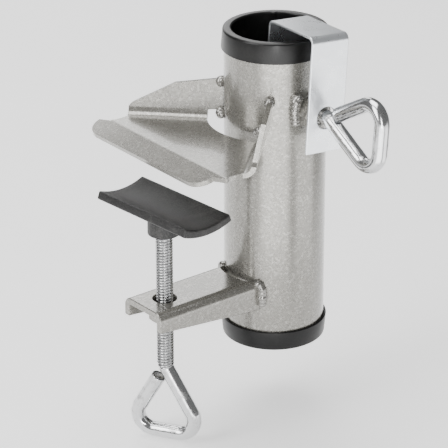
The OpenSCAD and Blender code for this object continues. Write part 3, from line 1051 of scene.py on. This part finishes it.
def hex_nut(height: float, flats: float = 17.0, bore_r: float = 5.05) -> Grid:
    """A hexagonal nut on the Z axis, with its corners cut by a cone at both ends.

    At angle a and height z the radius is the smaller of the rounded hexagon's and the cone's.

    Args:
        height: the nut's height.
        flats: width across its flats.
        bore_r: radius of its bore.

    Returns:
        The closed grid of section points by angle.
    """
    angle = np.linspace(0, TAU, 240, endpoint=False)
    local = np.abs((angle + math.pi / 6) % (math.pi / 3) - math.pi / 6)
    hexagon = np.minimum(flats / 2 / np.cos(local), flats / 2 / math.cos(math.pi / 6) - 0.35)
    rise = np.concatenate([np.linspace(0, 1.4, 8), np.linspace(height - 1.4, height, 8)])
    depth = np.minimum(rise, height - rise)
    outer = np.minimum(hexagon[None, :], flats / 2 - 0.25 + depth[:, None] * 1.73)
    bore = np.array([[bore_r, height - 0.7], [bore_r, 0.7], [bore_r + 0.7, 0.0]])
    rim = np.full((1, len(angle)), bore_r + 0.7)
    radius = np.concatenate([outer, rim, bore[:, :1] + 0 * angle[None], outer[:1]])
    level = np.concatenate([rise, [height], bore[:, 1], [0.0]])[:, None] + 0 * radius
    return np.stack([radius * np.cos(angle), radius * np.sin(angle), level], -1)


# ---------------------------------------------------------------- screws and pad


@dataclass
class HandleScrew:
    """A screw bent from one wire: rolled thread, an elbow, and a triangular handle."""

    name: str
    body: str
    node: str
    thread_len: float
    turn_deg: float
    base: Callable[[Array], Array]
    journal: tuple[tuple[float, float], ...] = ()
    thread_r: float = 5.0
    wire_r: float = 4.4
    pitch: float = 1.75
    handle_len: float = 43.5
    half_deg: float = 29.8
    corner_r: float = 10.0
    elbow_r: float = 7.0
    end_at: float = 8.6
    plain_len: float = 0.0

    def centre_line(self) -> tuple[Array, Array]:
        """The wire's centre line from the thread's tip, and the length along it at each point.

        Returns:
            The points, fine along the thread and at both ends, and their lengths.
        """
        a = math.radians(self.half_deg)
        half_bar = self.handle_len * math.tan(a)
        end = self.end_at * np.array([-math.sin(a), 0, -math.cos(a)])
        corners = np.array([[0, 0, self.thread_len], [0, 0, 0], [half_bar, 0, -self.handle_len],
                            [-half_bar, 0, -self.handle_len], end])
        dense = rounded_path(corners, [self.elbow_r, self.corner_r, self.corner_r], 0.05)
        length = np.concatenate([[0], np.cumsum(np.linalg.norm(np.diff(dense, axis=0), axis=1))])
        ends = np.array([0, 0.03, 0.1, 0.25, 0.5, 0.8])
        at = np.concatenate([ends, np.arange(1.0, self.thread_len + 3, self.pitch / 10),
                             np.arange(self.thread_len + 3.2, length[-1] - 1, 0.8), length[-1] - ends[::-1]])
        return np.stack([np.interp(at, length, dense[:, k]) for k in range(3)], -1), at

    def build(self, columns: int = 56) -> bpy.types.Object:
        """Sweeps the wire, with the thread as a ripple of its radius that winds round the axis.

        The thread's radius is a rounded triangle wave of height / pitch + angle / turn, fading out at
        the tip and the elbow. Each bend flattens the wire a little on its inner side.
        """
        line, at = self.centre_line()
        angle = np.linspace(0, TAU, columns, endpoint=False)
        phase = line[:, 2][:, None] / self.pitch + angle[None, :] / TAU
        wave = np.abs((phase % 1.0) * 2 - 1)
        crest = np.clip((wave - 0.12) / 0.76, 0, 1)
        crest = crest * crest * (3 - 2 * crest) * 0.5 + crest * 0.5
        root_r = self.wire_r - 0.42
        fade = np.clip((self.thread_len - self.plain_len - at + 1.2) / 2.4, 0, 1)[:, None]
        fade = fade * np.clip(at / 1.5, 0, 1)[:, None]
        plain = self.wire_r + 0 * crest
        radius = plain + (root_r + (self.thread_r - root_r) * crest - plain) * fade
        flow = np.stack([radius * np.cos(angle), radius * np.sin(angle), at[:, None] + 0 * radius], -1)
        for top, size in self.journal:
            radius = np.where((at <= top)[:, None], size, radius)
        curve = np.linalg.norm(np.gradient(unit(np.gradient(line, axis=0)), at, axis=0), axis=1)
        bent = np.clip(curve * self.corner_r, 0, 1.3)
        bent = np.convolve(bent, np.ones(5) / 5, mode="same")
        radius *= 1 - 0.045 * bent[:, None] * np.clip(-np.cos(angle)[None, :], 0, 1) ** 2
        radius += 0.035 * ripple(5, 8, 5.0)(line)[:, None] * (1 - fade)
        for far, round_r in ((at, 0.8), (at[-1] - at, 0.45)):
            short = np.clip(round_r - far, 0, round_r)
            radius -= (round_r - np.sqrt(round_r ** 2 - short ** 2))[:, None]
        grid = sweep(line, radius, columns, (0, 1, 0))
        shell = Shell()
        shell.grid(self.base(place(grid, self.turn_deg)), flow=flow)
        return shell.build(self.name, WIRE)

    def dress(self) -> None:
        """Builds the screw and sets it on its body."""
        settle(self.build(), self.body, "bright_zinc", self.node)


@dataclass
class ClampPad:
    """The swivelling pad: a hollowed plate with a boss and gussets, and the ring that holds it."""

    at: Layout
    length: float = 76.0
    width: float = 33.0
    plate_t: float = 5.0
    hollow_r: float = 42.0
    swivel_deg: float = 3.5
    boss_r: float = 9.5
    bore_r: float = 5.35
    edge_r: float = 1.1
    ring_in_r: float = 3.7
    ring_out_r: float = 6.2
    ring_h: float = 1.2
    ring_mouth_deg: float = 50.0

    def section(self, inset: float) -> Array:
        """The plate's outline (x, z), drawn in by an inset all round: two arcs with rounded ends."""
        sag = self.hollow_r - math.sqrt(self.hollow_r ** 2 - (self.width / 2) ** 2)
        centre = (0.0, self.at.pad_z + self.hollow_r - sag)
        reach = math.degrees(math.asin((self.width / 2 - self.edge_r) / self.hollow_r))
        mid = self.hollow_r + self.plate_t / 2
        half = self.plate_t / 2 - inset
        round_r = max(self.edge_r - inset, 0.05)
        right = np.radians(270 + reach)
        out = np.array([math.cos(right), math.sin(right)])
        along = np.array([-math.sin(right), math.cos(right)])
        corner = np.concatenate([
            (mid + half - round_r) * out + round_r * (np.cos(a) * out + np.sin(a) * along)[None]
            for a in np.linspace(0, math.pi / 2, 5)] + [
            (mid - half + round_r) * out + round_r * (np.cos(a) * out + np.sin(a) * along)[None]
            for a in np.linspace(math.pi / 2, math.pi, 5)]) + centre
        low = arc(centre, mid + half, 270 - reach, 270 + reach, 28)[1:-1]
        top = arc(centre, mid - half, 270 + reach, 270 - reach, 28)[1:-1]
        return np.concatenate([low, corner, top, (corner * (-1, 1))[::-1]])

    def build(self) -> bpy.types.Object:
        """Lays the section along Y with rounded ends, and adds the boss and the gussets."""
        a = np.linspace(0, math.pi / 2, 6)
        inset = self.edge_r * (1 - np.sin(a))
        start = -self.length / 2 + self.edge_r * (1 - np.cos(a))
        y = np.concatenate([start, np.linspace(start[-1], -start[-1], 20)[1:-1], -start[::-1]])
        insets = np.concatenate([inset, np.zeros(18), inset[::-1]])
        rows = [np.insert(self.section(i), 1, v, axis=1) for v, i in zip(y, insets)]
        shell = Shell()
        shell.grid(np.stack(rows)[:, ::-1])
        sag = self.hollow_r - math.sqrt(self.hollow_r ** 2 - (self.width / 2) ** 2)
        under = self.at.pad_z - sag - self.plate_t
        low = self.at.boss_z
        groove = self.ring_out_r + 0.4
        ring_low, ring_top = self.at.ring_z - 0.9, self.at.ring_z + 0.9
        boss = np.concatenate([
            [[self.bore_r, ring_low], [self.bore_r, low + 0.5], [self.bore_r + 0.5, low]],
            arc((self.boss_r - 0.8, low + 0.8), 0.8, 270, 360, 5),
            arc((self.boss_r + 1.4, under - 0.9), 1.4, 180, 100, 5),
            [[self.boss_r + 1.2, under + 1.0], [0.4, under + 1.0], [0.4, self.at.screw_tip_z + 0.5],
             [self.bore_r, self.at.screw_tip_z + 0.5], [self.bore_r, ring_top], [groove, ring_top],
             [groove, ring_low]]])
        shell.grid(revolve(boss, 96), caps=False)
        gusset = np.array([[self.boss_r - 1, under + 1.2], [self.boss_r + 6.2, under + 1.2],
                           [self.boss_r + 5.2, under - 0.6], [self.boss_r - 0.2, under - 5.2],
                           [self.boss_r - 1, under - 5.2]])
        outline = fillet(gusset, [0, 0.4, 0.8, 0.8, 0], 3)
        for far in (1, -1):
            x = np.array([-2.0, -1.7, 1.7, 2.0]) * far
            shrink = np.array([0.94, 1, 1, 0.94])
            middle = outline.mean(axis=0)
            rows = [np.insert((outline - middle) * k + middle, 0, v, axis=1) for v, k in zip(x, shrink)]
            shell.grid(np.stack(rows) * (1, far, 1))
        for k, points in enumerate(shell.points):
            shell.points[k] = place(points, self.swivel_deg, (-self.at.clamp_x, 0, 0))
        return shell.build("clamp_pad_moulding", PAD)

    def build_ring(self) -> bpy.types.Object:
        """The open ring, cut from sheet."""
        gap = self.ring_mouth_deg / 2
        outline = np.concatenate([arc((0, 0), self.ring_out_r, gap, 360 - gap, 48),
                                  arc((0, 0), self.ring_in_r, 360 - gap, gap, 48)])
        top = self.at.ring_z + self.ring_h / 2

        def lay(s: Array, t: Array, h: float) -> Array:
            """Lays the blank flat at the ring's height."""
            return np.stack([s - self.at.clamp_x, t, np.full_like(s, top + h)], -1)

        sheet = Sheet(lay, self.ring_h)
        sheet.panel(outline)
        return sheet.shell().build("pad_snap_ring", SPRING)

    def dress(self) -> None:
        """Builds the pad and its ring and sets each on its body."""
        settle(self.build(), "clamp_pad", "black_pad", "clamp_pad")
        settle(self.build_ring(), "clamp_carriage", "spring_steel", "pad_retaining_ring")


# ---------------------------------------------------------------- rod clamp


@dataclass
class RodClamp:
    """The U strap that hangs over the tube's rim, and the welded nut that its screw runs in."""

    at: Layout
    sheet_t: float = 1.5
    width: float = 25.4
    up: float = 48.4
    down: float = 20.6
    depth: float = 43.0
    inner_down: float = 18.0
    fold_r: float = 4.0
    hole_r: float = 6.5
    face_y: float = 45.75
    shift_x: float = -0.5
    yaw_deg: float = 4.6
    tilt_deg: float = -1.1
    roll_deg: float = -4.0
    nut_len: float = 10.8
    nut_face_y: float = 39.0

    def fold(self, s: Array, t: Array, h: float) -> Array:
        """Folds the blank: s runs across the strap, and t up the outer leg, over the top and down inside.

        Local y points inward from the outer face. The bent strap is rolled, tilted and yawed, because
        it hangs askew on its screw.
        """
        quarter = self.fold_r * math.pi / 2
        first = self.up - self.fold_r
        second = first + quarter + self.depth - 2 * self.fold_r
        a = np.clip((t - first) / self.fold_r, 0, math.pi / 2)
        b = np.clip((t - second) / self.fold_r, 0, math.pi / 2)
        rise = np.minimum(t, first)
        across = np.clip(t - first - quarter, 0, self.depth - 2 * self.fold_r)
        fall = np.maximum(t - second - quarter, 0)
        r = self.fold_r
        y = r - r * np.cos(a) + across + r * np.sin(b)
        z = rise + r * np.sin(a) - r * (1 - np.cos(b)) - fall
        turn = a + b
        y, z = y - h * np.cos(turn), z + h * np.sin(turn)
        points = np.stack([s, y, z], -1)
        roll, tilt = math.radians(-self.roll_deg), math.radians(self.tilt_deg)
        points = points @ np.array([[math.cos(roll), 0, -math.sin(roll)], [0, 1, 0],
                                    [math.sin(roll), 0, math.cos(roll)]])
        points = points @ np.array([[1, 0, 0], [0, math.cos(tilt), math.sin(tilt)],
                                    [0, -math.sin(tilt), math.cos(tilt)]])
        return place(points, -self.yaw_deg, (self.shift_x, -self.face_y, self.at.rod_screw_z - 0.2))

    def build_strap(self) -> bpy.types.Object:
        """Draws the blank: a square with the hole in it, and plain rows for the rest."""
        s = np.linspace(-self.width / 2, self.width / 2, 13)
        square = s[1:-1]
        quarter = self.fold_r * math.pi / 2
        first = self.up - self.fold_r
        second = first + quarter + self.depth - 2 * self.fold_r
        last = second + quarter + first + self.inner_down
        above = np.concatenate([[square[-1], (square[-1] + first) / 2],
                                np.linspace(first, first + quarter, 9),
                                np.linspace(second, second + quarter, 9), [last]])
        sheet = Sheet(self.fold, self.sheet_t)
        sheet.grid(*np.meshgrid(s, [-self.down, square[0]], indexing="ij"))
        for part in (s[:2], s[-2:]):
            sheet.grid(*np.meshgrid(part, square, indexing="ij"))
        sheet.hole(square_border(square, square), (0, 0), self.hole_r)
        sheet.grid(*np.meshgrid(s, above, indexing="ij"))
        return sheet.shell().build("rod_strap_sheet", STRAP, Edge.SHEARED)

    def dress(self) -> None:
        """Builds the strap, the nut and its weld and sets them on their bodies."""
        settle(self.build_strap(), "rod_strap", "satin_zinc", "rod_strap")
        nut = hex_nut(self.nut_len)
        c = self.at.rod_screw_z
        turned = np.stack([nut[..., 1], nut[..., 2] - self.nut_face_y, -nut[..., 0] + c], -1)
        shell = Shell()
        shell.grid(turned[:, ::-1], caps=False)
        settle(shell.build("rod_nut_forging", SILVER), "frame", "silver_paint", "rod_nut")
        runs = Shell()
        for side in (1, -1):
            line = np.array([[9.6, -29.6, c - 8], [10.4, -29.6, c + 1], [9.4, -30.2, c + 8],
                             [6.6, -30.9, c + 10.6]]) * (side, 1, 1)
            bead = weld_bead(line, 3.2, 40 + side)
            runs.add(bead.points[0], bead.faces)
        settle(runs.build("rod_nut_weld_runs", WELD), "frame", "painted_weld", "rod_nut_weld")


# ---------------------------------------------------------------- studio


@dataclass
class Studio:
    """A pale floor that glows in patches and is painted grey where it does not glow, soft lights and the
    camera.
    """

    azimuth: float = -38.814
    elevation: float = 24.025
    roll: float = -0.088
    distance: float = 1450.2
    lens_mm: float = 195.964
    sensor_mm: float = 36.0
    aim_right: float = -29.84
    aim_up: float = -26.12
    aim_z: float = 95.0
    floor_z: float = -48.5

    def axes(self) -> tuple[Array, Array, Array]:
        """The camera's right, up and backward directions."""
        a, e, r = (math.radians(v) for v in (self.azimuth, self.elevation, self.roll))
        back = np.array([math.sin(a) * math.cos(e), -math.cos(a) * math.cos(e), math.sin(e)])
        right = np.array([math.cos(a), math.sin(a), 0.0])
        up = np.cross(back, right)
        return (math.cos(r) * right + math.sin(r) * up, -math.sin(r) * right + math.cos(r) * up, back)

    def camera(self) -> None:
        """Makes the camera and sets it."""
        right, up, back = self.axes()
        a = math.radians(self.azimuth)
        aim = np.array([math.cos(a), math.sin(a), 0]) * self.aim_right + (0, 0, self.aim_z + self.aim_up)
        data = bpy.data.cameras.new("camera")
        data.sensor_width = self.sensor_mm
        data.lens = self.lens_mm
        data.clip_start, data.clip_end = 0.05, 20.0
        item = bpy.data.objects.new("camera", data)
        bpy.context.scene.collection.objects.link(item)
        place_at = (aim + back * self.distance) * MM
        matrix = np.eye(4)
        matrix[:3, 0], matrix[:3, 1], matrix[:3, 2], matrix[:3, 3] = right, up, back, place_at
        item.matrix_world = Matrix(matrix.tolist())
        bpy.context.scene.camera = item

    def light(self, name: str, spot: Sequence[float], size: Sequence[float], watts: float,
              aim: Sequence[float] = (-30.0, 0.0, 90.0)) -> None:
        """Adds a soft rectangular light.

        Args:
            name: the light's name.
            spot: where it stands, in millimetres.
            size: its width and height, in millimetres.
            watts: its power.
            aim: the point that it faces, in millimetres.
        """
        data = bpy.data.lights.new(name, "AREA")
        data.shape, data.size, data.size_y, data.energy = "RECTANGLE", size[0] * MM, size[1] * MM, watts
        item = bpy.data.objects.new(name, data)
        bpy.context.scene.collection.objects.link(item)
        back = unit(np.asarray(spot, float) - np.asarray(aim, float))
        right = unit(np.cross((0, 0, 1.0), back))
        matrix = np.eye(4)
        matrix[:3, 0], matrix[:3, 1], matrix[:3, 2] = right, np.cross(back, right), back
        matrix[:3, 3] = np.asarray(spot, float) * MM
        item.matrix_world = Matrix(matrix.tolist())

    def floor_glow(self, n: Nodes) -> Value:
        """Glow of the floor: even round the holder, and in patches further out that the metal reflects.

        With f and r the unit direction's parts towards the camera and to its right, there is a bright
        patch in front (f near 1), one to the right (r near 1) and a dim field to the left.

        Args:
            n: the floor's node tree.

        Returns:
            The glow, 0 to 1.
        """
        a = math.radians(self.azimuth)
        axes = n.node("ShaderNodeSeparateXYZ", {}, {"Vector": n.where})
        x, y = Value(n, axes.outputs[0]), Value(n, axes.outputs[1])
        flat = n.node("ShaderNodeVectorMath", {"operation": "LENGTH"}, {0: n.where}).outputs["Value"]
        away = Value(n, flat)
        front = (x * math.sin(a) - y * math.cos(a)) / away
        side = x * math.cos(a) + y * math.sin(a)
        right = side / away
        outer = away.above(0.27, 0.05)
        behind = (0.0 - front).above(0.05, 0.1) * (1.0 - side.above(0.34, 0.1)) * 0.19
        strip = front.above(0.86, 0.07)
        patch = right.above(0.72, 0.09) * (front + 0.3).above(0.3, 0.12) * 0.55
        left = (0.0 - right).above(0.45, 0.15) * (front + 0.3).above(0.3, 0.12) * 0.11
        return (1.0 - outer) * 0.19 + outer * (behind + strip + patch + left)

    def build(self) -> None:
        """Sets up the world, the floor, the lights and the camera."""
        world = bpy.data.worlds.new("studio")
        bpy.context.scene.world = world
        world.use_nodes = True
        world.node_tree.nodes["Background"].inputs["Color"].default_value = (1, 1, 1, 1)
        world.node_tree.nodes["Background"].inputs["Strength"].default_value = 0.22
        mesh = bpy.data.meshes.new("floor")
        half = 6.0
        z = self.floor_z * MM
        corners = [(-half, -half, z), (half, -half, z), (half, half, z), (-half, half, z)]
        mesh.from_pydata(corners, [], [(0, 1, 2, 3)])
        floor = bpy.data.objects.new("floor", mesh)
        bpy.context.scene.collection.objects.link(floor)
        n = Nodes("glowing_floor_painted_grey")
        glow = self.floor_glow(n)
        pale = n.mix(n.noise(60, 3.0), (0.88, 0.88, 0.88), (0.92, 0.92, 0.92))
        # painted shade: the floor's colour goes to grey 0.62 where it does not glow, so the metal reflects a
        # darker floor there
        base = n.mix(glow.above(0.08, 0.08), (0.62, 0.62, 0.62), pale)
        # painted light: the floor glows, though it is no lamp, brightest in the patches that the metal
        # reflects
        mesh.materials.append(n.surface(Base_Color=base, Roughness=0.9, Emission_Strength=3.6,
                                        Emission_Color=n.mix(glow, (0.0, 0.0, 0.0), (1.0, 1.0, 1.0))))
        self.light("front", (-980, -1220, 330), (220, 1100), 14.0)
        self.light("key", (-1400, 100, 900), (700, 1200), 20.0)
        self.light("top", (-100, 300, 1500), (1200, 900), 22.0)
        self.light("back", (500, 1200, 700), (900, 700), 6.0)
        self.camera()


def main() -> None:
    """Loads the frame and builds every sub-assembly."""
    logging.basicConfig(level=logging.INFO, format="%(name)s: %(message)s")
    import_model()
    at = Layout.from_frame()
    Studio().build()
    SocketTube(at).dress()
    UpperJaw(at).dress()
    LowerArm(at).dress()
    apex_z, rod_apex_y, tip_y = 1.2, 47.6, 4.75
    HandleScrew("clamp_screw_wire", "clamp_screw", "clamp_screw", at.screw_tip_z - apex_z, -59.4,
                lambda p: p + (-at.clamp_x, 0, apex_z),
                journal=((at.screw_tip_z - at.ring_z + 1.6, 4.95), (at.screw_tip_z - at.ring_z + 0.8, 3.6),
                         (at.screw_tip_z - at.ring_z - 0.8, 4.6))).dress()
    HandleScrew("rod_screw_wire", "rod_screw", "rod_screw", rod_apex_y - tip_y, 94.3,
                lambda p: np.stack([p[..., 0], p[..., 2] - rod_apex_y, -p[..., 1] + at.rod_screw_z], -1),
                plain_len=6.0).dress()
    ClampPad(at).dress()
    RodClamp(at).dress()


if __name__ == "__main__":
    main()
